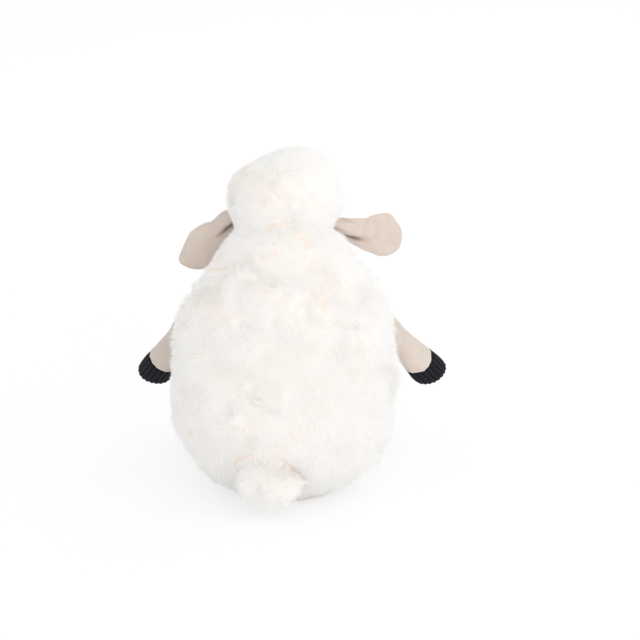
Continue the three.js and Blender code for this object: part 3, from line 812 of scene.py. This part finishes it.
# The strands of all pieces are grown together, so that locks run across the seams
left_of_seam = root[:, 0] - BACK_SEAM_X + 3.5 * noise(root, 4, 9.1)[:, 1] > 0
on_body = ~head_side & ~on_tail
on_back = on_body & (root[:, 1] > SIDE_SEAM_Y)
for name, here, joint in (
    ("pile_back_left", on_back & left_of_seam, AT_NECK),
    ("pile_back_right", on_back & ~left_of_seam, AT_NECK),
    ("pile_belly", on_body & ~on_back, AT_NECK),
    ("pile_head_left", head_side & left_of_seam, AT_NECK),
    ("pile_head_right", head_side & ~left_of_seam, AT_NECK),
    ("pile_tail", on_tail, AT_TAIL),
):
    mine = np.flatnonzero(here)
    mine = mine[np.argsort(root[mine] @ np.array([0.3, 0.2, 1.0]), kind="stable")]
    pieces = max(1, math.ceil(len(mine) / PER_PIECE))
    for k, some in enumerate(np.array_split(mine, pieces)):
        label = f"{name}_{k + 1}" if pieces > 1 else name
        made = make(label, points[some].reshape(-1, 3), list(strand_faces(len(some))), PILE,
                    uv=places_on_map[some].reshape(-1, 2), smooth=False)
        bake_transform(made)


# ---- sewn velour and corduroy ----
def sewn(name, rings, material, slot, body, replaced, fill=None, **numbers):
    """A closed skin through rings of points, that stands for a CAD node. Its fill is not used."""
    rows, around = rings.shape[:2]
    k, j = np.arange(rows - 1)[:, None] * around, np.arange(around)[None]
    on = (j + 1) % around
    sides = np.stack([k + j, k + on, k + around + on, k + around + j], -1).reshape(-1, 4)
    points = rings.reshape(-1, 3)
    low, high = len(points), len(points) + 1
    points = np.concatenate([points, rings[0].mean(0)[None], rings[-1].mean(0)[None]])
    step, last = np.arange(around), (rows - 1) * around
    after = (step + 1) % around
    ends = np.concatenate([
        np.stack([np.full(around, low), after, step], -1),
        np.stack([np.full(around, high), last + step, last + after], -1),
    ])
    points[:, 2] = np.maximum(points[:, 2], 0.1)
    numbers = {label: np.concatenate([v.ravel(), [v[0].mean(), v[-1].mean()]])
               for label, v in numbers.items()}
    made = make(name, points, [sides, ends], material, body, numbers=numbers)
    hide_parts(replaced)


def pushed(rings, amount):
    """Moves each point of the rings along the skin's normal."""
    along = np.gradient(rings, axis=0)
    around = np.roll(rings, -1, axis=1) - np.roll(rings, 1, axis=1)
    return rings + unit(np.cross(around, along)) * amount[..., None]


def photo_place(x, y, depth):
    """The place at a depth along Y that the photograph's camera sees at a pixel."""
    rise = (GROUND_Y - np.asarray(y)) * PIXEL
    across = (MIDDLE_X - np.asarray(x)) * PIXEL
    up = (rise + depth * math.sin(ELEVATION)) / math.cos(ELEVATION)
    return np.stack([across, np.full(len(across), depth), up], -1)


def even(line, many):
    """A smooth line through the points, with evenly spaced steps."""
    line = np.array(line, float)
    at = np.concatenate([[0], np.cumsum(np.linalg.norm(np.diff(line, axis=0), axis=1))])
    share = np.linspace(0, at[-1], many)
    return np.stack([eased(share, at, line[:, k]) for k in range(2)], -1)


# How much painted shade a velour piece on the toy's left gets all over, for the shade that falls
# on that side
PAINTED_SIDE_SHADE = {"ear_left": 0.25, "arm_left": 0.25}

# An ear's edges are pixels of the photograph from root to tip. A fold, or a crease of painted
# shade, has its depth (for a crease, how dark its painted shade is), its place across the ear at
# the root, how that changes towards the tip, its width, and its place and length along the ear.
# The droop bends both edges forward.
EARS = {
    "left": dict(
        upper=[(243, 213), (238, 211), (232, 210), (226, 211), (221, 214), (215.5, 219),
               (211, 222.5), (206, 223.5), (201, 226), (196, 229), (191, 233), (188, 238),
               (185, 244), (182, 251), (180, 256), (179, 260), (180, 262.5), (182, 264)],
        lower=[(243, 224), (240, 230), (236, 237), (231, 244), (225, 252), (217, 262), (209, 268),
               (203, 269.5), (199.5, 270), (194, 269.6), (189, 268.5), (185.5, 266.5), (182, 264)],
        folds=[(3.5, 0.35, 0, 0.5, 0.15, 0.35), (-4.5, -0.2, 0.6, 0.13, 0.22, 0.16),
               (-1.5, -0.5, 0, 0.3, 0.15, 0.25), (-1.2, 0.75, 0, 0.2, 0.4, 0.3)],
        droop=2.2,
        creases=[(1, -0.22, 0.6, 0.07, 0.16, 0.13), (0.35, -0.22, 0.6, 0.2, 0.1, 0.2)],
    ),
    "right": dict(
        upper=[(328, 217), (334, 217), (337.5, 218), (342, 218.3), (349, 219), (359, 219),
               (365, 219), (370, 217), (377, 215), (384, 214), (389, 214.6), (393, 218),
               (397, 224), (400.5, 229), (402, 236)],
        lower=[(328, 226), (334, 230), (339, 235), (345, 240.5), (353, 245), (356, 246.5),
               (362, 250), (368, 252.5), (373, 254), (377, 256), (382, 256.5), (388, 256),
               (393.5, 253.5), (398, 250), (401, 243), (402, 236)],
        folds=[(4.5, 0.05, 0, 0.4, 0.08, 0.35), (-5, -0.78, 0.9, 0.15, 0.34, 0.14),
               (-2, 0.8, 0, 0.16, 0.18, 0.14)],
        droop=2,
        creases=[(1, -0.76, 0.9, 0.09, 0.29, 0.08), (0.4, -0.82, 0.9, 0.16, 0.36, 0.12),
                 (0.7, -0.56, 0, 0.08, 0.11, 0.04), (0.3, 1.02, -1.1, 0.14, 0.22, 0.12)],
    ),
}
EAR_STEPS, EAR_ACROSS = 90, 81
LAYER_GAP = 0.12


def creased(table, u, v):
    return sum(depth * bell(v, across + change * u, wide) * bell(u, along, long)
               for depth, across, change, wide, along, long in table)


def ear(side, upper, lower, folds, droop, creases):
    """Two layers of velour between two edges. Folds move them along Y, and painted shade darkens
    the back layer in its creases and the whole left ear."""
    root = EAR_ROOTS[side]
    top, bottom = (photo_place(*even(edge, EAR_STEPS).T, root[1]) for edge in (upper, lower))
    u = np.linspace(0, 1, EAR_STEPS)[:, None]
    v = np.sin(np.linspace(-1, 1, EAR_ACROSS) * math.pi / 2)[None]
    middle = (top + bottom)[:, None] / 2 + (top - bottom)[:, None] / 2 * v[..., None]
    middle[..., 1] += creased(folds, u, v) - droop * v**2 * u + 0.35 * noise(middle, 11)[..., 0]
    at_tip = np.minimum(1, (1 - u) / 0.04 + 0.02) ** 0.5
    thick = (1.9 + 1.3 * np.exp(-u / 0.12)) * (1 - np.abs(v) ** 3.2) ** 0.5 * at_tip
    crumple = 0.28 * noise(middle, 5)[..., 0] * (1 - v**4)
    for name, out in (("back", 1), ("front", -1)):
        skin, inner = middle.copy(), middle.copy()
        skin[..., 1] += out * (thick + crumple + LAYER_GAP)
        inner[..., 1] += out * LAYER_GAP
        ring = np.concatenate([skin, inner[:, ::-1][:, 1:-1]], axis=1)
        unseen = np.zeros((EAR_STEPS, EAR_ACROSS - 2))
        # Painted shade: darker in the creases of the back layer, and all over the left ear
        wear_and_painted_light = np.concatenate([creased(creases, u, v) * (out > 0), unseen], axis=1)
        wear_and_painted_light += PAINTED_SIDE_SHADE.get(f"ear_{side}", 0)
        turn = slice(None, None, out)
        sewn(f"ear_{side}_{name}_velour", ring[:, turn], VELOUR, "velour", f"ear_{side}",
             f"ear_{side}_{name}", 0.2, crease=wear_and_painted_light[:, turn])


for side, drawn in EARS.items():
    ear(side, **drawn)

# The corduroy's ribs, how much smaller a sleeve's root ball is than the CAD model's, how long the
# round part of a tip is as a share of the radius, and how much the tip is longer on one side
RIB, RIB_HEIGHT = 4.3, 0.9
BALL_INSET = 2.4
TIP_ROUND = 0.85
SKEW = 0.24
AROUND_SLEEVE, AROUND_HOOF = 96, 288
UPWARD, BACKWARD = np.array([0, 0, 1.0]), np.array([0, 1.0, 0.3])


def limb(name, pivot, aim, size, panel_faces, longer, drop=0.0, seam_moved=1.5, seam_bow=4.5):
    """A stuffed velour sleeve and a corduroy hoof, about as wide as the CAD model's along their
    length. One of the hoof's two panels faces the given way, and its tip is longer on the given
    side. The drop lowers the limb away from its root. The seam is moved towards the tip, and bows
    towards the root at the sides."""
    axis = unit(np.array(aim, float))
    up = unit(panel_faces - axis * (panel_faces @ axis))
    side = np.cross(up, axis)
    outward = unit(longer - axis * (longer @ axis))
    length, radius, seam = size["length"], size["radius"], size["seam"]
    ball = size["root"] - BALL_INSET
    on_ball = [[0, 1], [0.05, 0.96], [0.1, 0.89]]
    shares = np.array([[at, wide * ball / radius] for at, wide in on_ball] + size["rings"])
    round_from = length - radius * TIP_ROUND

    def wide(at):
        tip = np.clip((at - round_from) / (length - round_from), 0, 1)
        root = (1 - (np.minimum(at, 0) / ball) ** 2) ** 0.5
        skin = eased(at, shares[:, 0] * length, shares[:, 1] * radius)
        return skin * (1 - tip**3) ** 0.5 * root

    def rings(at, many):
        angle = np.arange(many) * 2 * math.pi / many
        r = wide(at)[:, None]
        near_seam = ramp(at, seam - 22, seam) * ramp(at, length - 3, seam)
        place = at[:, None] + near_seam[:, None] * (seam_moved - seam_bow * np.cos(angle) ** 2)
        depth = 1 - (1 - size["depth"]) * ramp(at, 0, 0.25 * length)[:, None]
        off = side * (r * np.cos(angle))[..., None] + up * (r * depth * np.sin(angle))[..., None]
        place = place + SKEW * ramp(at, seam - 6, length)[:, None] * (off @ outward)
        low = drop * ramp(at, -5, 25)[:, None, None] * UPWARD
        return pivot + axis * place[..., None] + off - low, angle

    round_root = -ball * np.cos(np.linspace(0.06, math.pi / 2, 20))[:-1]
    at = np.concatenate([round_root, np.linspace(0, seam, 60)])
    skin, angle = rings(at, AROUND_SLEEVE)
    near = np.exp(-(seam - at) / 3.0)[:, None]
    pucker = 0.35 * np.cos(angle * 13 + 4 * noise(skin, 9)[..., 0]) * near
    soft = 0.6 * noise(skin, 16)[..., 0] + 0.3 * noise(skin, 6)[..., 1]
    soft *= (0.3 + 0.7 * ramp(at, 0, 12))[:, None]
    edge = 0.5 * bell(at, seam - 0.9, 0.8)[:, None] - 1.1 * bell(at, seam + 0.2, 0.7)[:, None]
    rim = np.broadcast_to(bell(at, seam - 0.6, 1.1)[:, None], pucker.shape)
    # On the left sleeve, painted shade darkens the whole velour
    sewn(f"{name}_sleeve_velour", pushed(skin, pucker + soft + edge), VELOUR, "velour", name,
         f"{name}_sleeve", 0.7, rim=rim, crease=np.full(rim.shape, PAINTED_SIDE_SHADE.get(name, 0)))

    round_tip = round_from + (length - round_from) * np.sin(np.linspace(0, 1, 40) * math.pi / 2)
    at = np.concatenate([np.linspace(seam + 0.1, round_from, 18)[:-1], round_tip])
    at[-1] -= 0.01  # so that the last ring isn't a single point
    skin, angle = rings(at, AROUND_HOOF)
    on_panel = (angle + math.pi) % math.pi - math.pi / 2
    across = wide(at)[:, None] * on_panel[None]
    ridge = np.abs(np.cos(math.pi * across / RIB)) ** 0.8
    side_seams = bell(np.abs(on_panel), math.pi / 2, 0.07)[None] * ramp(length - at, 0, 3)[:, None]
    close = 0.5 * bell(at, seam, 1.2)[:, None]
    fold = 0.5 * noise(skin, 12)[..., 0]
    end = ramp(length - at, 0, 1.0)[:, None]
    relief = (RIB_HEIGHT * ridge - 0.2 - side_seams) * end + fold - close
    sewn(f"{name}_hoof_corduroy", pushed(skin, relief), CORDUROY, "corduroy", name,
         f"{name}_hoof", 0.8, ridge=ridge)


limb("arm_left", SHOULDERS[0], (0.45, -0.5, -0.73), ARM, BACKWARD, np.array([1, 0, 0.7]),
     drop=1.6, seam_moved=-2.5, seam_bow=1.0)
limb("arm_right", SHOULDERS[1], (-0.61, -0.37, -0.7), ARM, BACKWARD, np.array([-1, 0, 0.7]),
     drop=1.6)
limb("leg_left", HIPS[0], (0.2, -0.98, 0), LEG, UPWARD, np.array([0, 0, -0.4]))
limb("leg_right", HIPS[1], (-0.2, -0.98, 0), LEG, UPWARD, np.array([0, 0, -0.4]))

# ---- tail ----
TAIL_THICKNESS = 2.5
tail_space = Block((-26, 60, 2), (50, 112, 60), 1.6)
tail_outer = tail_space.distance(tail_field(tail_space.places))
tail_layer = np.maximum(tail_outer, -(tail_outer + TAIL_THICKNESS))
tail_points, tail_faces = tail_space.surface(tail_layer)
tail_points = tail_points + 0.5 * noise(tail_points, 7)
tail = make("tail_backing", tail_points, tail_faces, HIDE)
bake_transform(tail)
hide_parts("tail_cover")

# ---- face ----
THREAD_SIDES = 8


def threads(name, lines, radius, node):
    """Thick threads that follow lines of points, all in one mesh."""
    points, quads, tris, start = [], [], [], 0
    angle = np.arange(THREAD_SIDES) * 2 * math.pi / THREAD_SIDES
    step = np.arange(THREAD_SIDES)
    after = (step + 1) % THREAD_SIDES
    for line in lines:
        along = unit(np.gradient(line, axis=0))
        side = unit(np.cross(along, [0.0, 1.0, 0.05]))
        up = np.cross(side, along)
        rows = len(line)
        bulge = np.sin(np.linspace(0.12, 0.88, rows) * math.pi) ** 0.4
        out = np.cos(angle)[:, None] * side[:, None] - np.sin(angle)[:, None] * up[:, None]
        ring = line[:, None] + radius * (0.35 + 0.65 * bulge)[:, None, None] * out
        points.append(np.concatenate([ring.reshape(-1, 3), line[:1], line[-1:]]))
        k = np.arange(rows - 1)[:, None] * THREAD_SIDES + start
        on = k + THREAD_SIDES
        sides = np.stack([k + step, k + after, on + after, on + step], -1)
        quads.append(sides.reshape(-1, 4)[:, ::-1])
        low, last = start + rows * THREAD_SIDES, start + (rows - 1) * THREAD_SIDES
        ends = np.full(THREAD_SIDES, low)
        tris.append(np.stack([ends, start + step, start + after], -1))
        tris.append(np.stack([ends + 1, last + after, last + step], -1))
        start = low + 2
    faces = [np.concatenate(quads), np.concatenate(tris)]
    made = make(name, np.concatenate(points), faces, THREAD, "head")
    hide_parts(node)


def on_muzzle(x, z, proud):
    """Points on the muzzle's front, at a place across and up from its middle."""
    depth = np.sqrt(np.maximum(0.05, 1 - (x / MUZZLE_SIZE[0]) ** 2 - (z / MUZZLE_SIZE[2]) ** 2))
    return MUZZLE + np.stack([x, -MUZZLE_SIZE[1] * depth - proud, z], -1)


def spread(corners, many=12):
    """Points along a line with corners."""
    corners = np.array(corners)
    at = np.linspace(0, len(corners) - 1, many)
    return [np.interp(at, np.arange(len(corners)), corners[:, k]) for k in (0, 1)]


# The nose is a stitch for each millimetre across, from its lower edge to its upper one
NOSE_HALF_WIDTH, NOSE_TOP = 8, 6
NOSE_LOWER_EDGE = [0, 5.1, 8.5], [-5, -1.9, 2.4]
STITCH_POINTS = 9
nose = []
for across in range(-NOSE_HALF_WIDTH, NOSE_HALF_WIDTH + 1):
    low = np.interp(abs(across), *NOSE_LOWER_EDGE)
    high = NOSE_TOP - 0.03 * across * across
    stitch = np.linspace(low, high, STITCH_POINTS)
    nose.append(on_muzzle(across * np.linspace(0.86, 1, STITCH_POINTS), stitch, 0.1))
threads("nose_thread", nose, 0.62, "nose_stitching")

strokes = [[(0, -5.2), (0, -11.8)]]
strokes += [[(0, -11.8), (s * 2.4, -14.6), (s * 4.9, -15.6)] for s in (-1, 1)]
strokes += [[(s * 4.9, -15.6), (s * 6.8, -15.3), (s * 8.2, -13.8)] for s in (-1, 1)]
threads("mouth_thread", [on_muzzle(*spread(stroke), 0.0) for stroke in strokes], 0.8,
        "mouth_stitching")

# An eye's profile has its radius and how far it stands out of the head
EYE_ACROSS, EYE_UP = 24, 6.0
EYE_SIDES = 40
eye_profile = [(2.0, -3.0), (5.0, -2.0), (5.6, -0.3), (5.7, 0.2)]
eye_profile += [(5.5 * math.cos(t), 0.4 + 4 * math.sin(t)) for t in np.linspace(0.05, 1.5, 14)]
turn = np.arange(EYE_SIDES) * 2 * math.pi / EYE_SIDES
for side, sign in (("left", 1), ("right", -1)):
    in_front = math.sqrt(1 - (EYE_ACROSS / HEAD_HALF_WIDTH) ** 2 - (EYE_UP / HEAD_UP) ** 2)
    seat = np.array([sign * EYE_ACROSS, -HEAD_FRONT * in_front, EYE_UP])
    out = unit(seat / np.array([HEAD_HALF_WIDTH, HEAD_FRONT, HEAD_UP]) ** 2)
    right = unit(np.cross([0, 0, 1.0], out))
    circle = np.cos(turn)[:, None] * right + np.sin(turn)[:, None] * np.cross(out, right)
    rings = np.array([HEAD + seat + out * rise + radius * circle for radius, rise in eye_profile])
    sewn(f"eye_{side}_gloss", rings, EYE, "eye_plastic", "head", f"eye_{side}")

# ---- what is inside ----
inside = {"pellet_bag": POUCH, "eye_washer_left": WASHER, "eye_washer_right": WASHER}
for carrier in ("body", "head", "tail", "arm_left", "arm_right", "leg_left", "leg_right"):
    inside[carrier + "_stuffing"] = STUFFING
for node, material in inside.items():
    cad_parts[node].data.materials.clear()
    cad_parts[node].data.materials.append(material)
